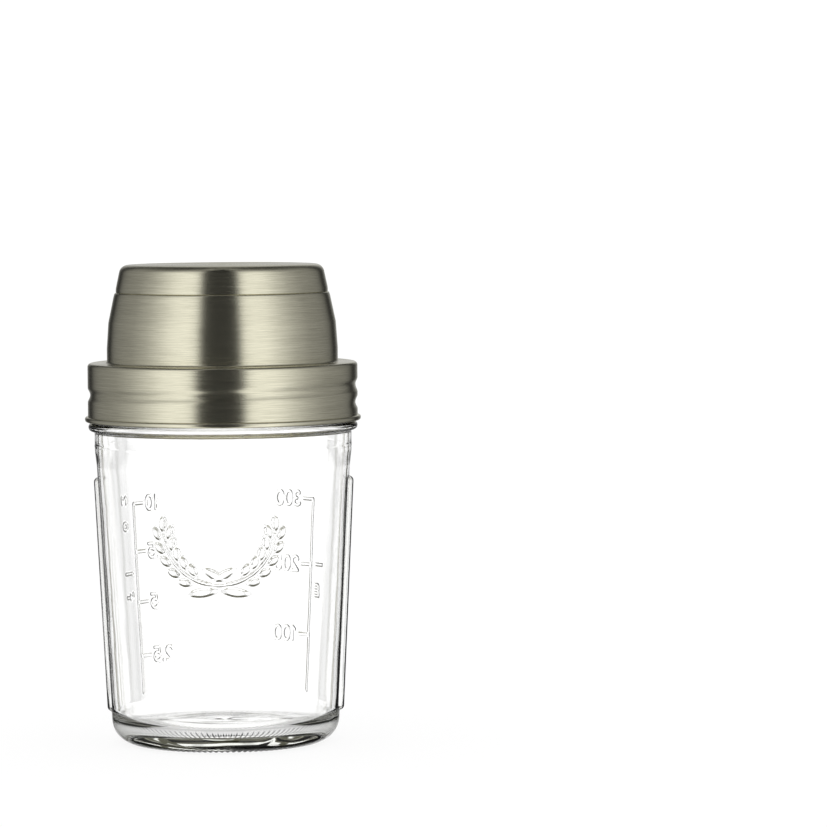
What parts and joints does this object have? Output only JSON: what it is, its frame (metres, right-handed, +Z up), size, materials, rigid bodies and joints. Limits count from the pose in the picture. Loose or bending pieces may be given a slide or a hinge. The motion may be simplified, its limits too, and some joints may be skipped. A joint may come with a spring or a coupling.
{
  "type": "starter jar",
  "caption": "Tapered clear glass fermenting jar with side ribs and a brushed steel screw lid; the lid and the cap that lifts off it double as measuring cups.",
  "frame": {"origin": "middle of the base, on the surface that the jar stands on", "axes": "+Z up along the jar's axis, the front of the jar faces -Y, the two side ribs lie at +X and -X"},
  "size_m": [0.09, 0.09, 0.1562],
  "materials": {
    "clear_glass": "clear pressed soda glass, fire polished",
    "white_silicone": "matt white food silicone",
    "brushed_steel": "stainless sheet, fine brush lines running round the lid"
  },
  "bodies": {
    "jar": {"glass_jar": "clear_glass"},
    "seal": {"sealing_ring": "white_silicone"},
    "lid": {"screw_lid": "brushed_steel"},
    "cap": {"lid_cap": "brushed_steel"}
  },
  "joints": [
    {"name": "lid_lift", "type": "slide", "parent": "jar", "child": "seal", "axis": [0, 0, 1], "range_m": [0, 0.01822]},
    {"name": "lid_turn", "type": "hinge", "parent": "seal", "child": "lid", "pos_m": [0, 0, 0.115], "axis": [0, 0, 1], "range_deg": [0, 1170]},
    {"name": "cap_pull", "type": "slide", "parent": "lid", "child": "cap", "axis": [0, 0, 1], "range_m": [0, 0.02]}
  ],
  "couplings": [
    {"joint": "lid_lift", "follows": "lid_turn", "m_per_rad": 0.00089127}
  ]
}
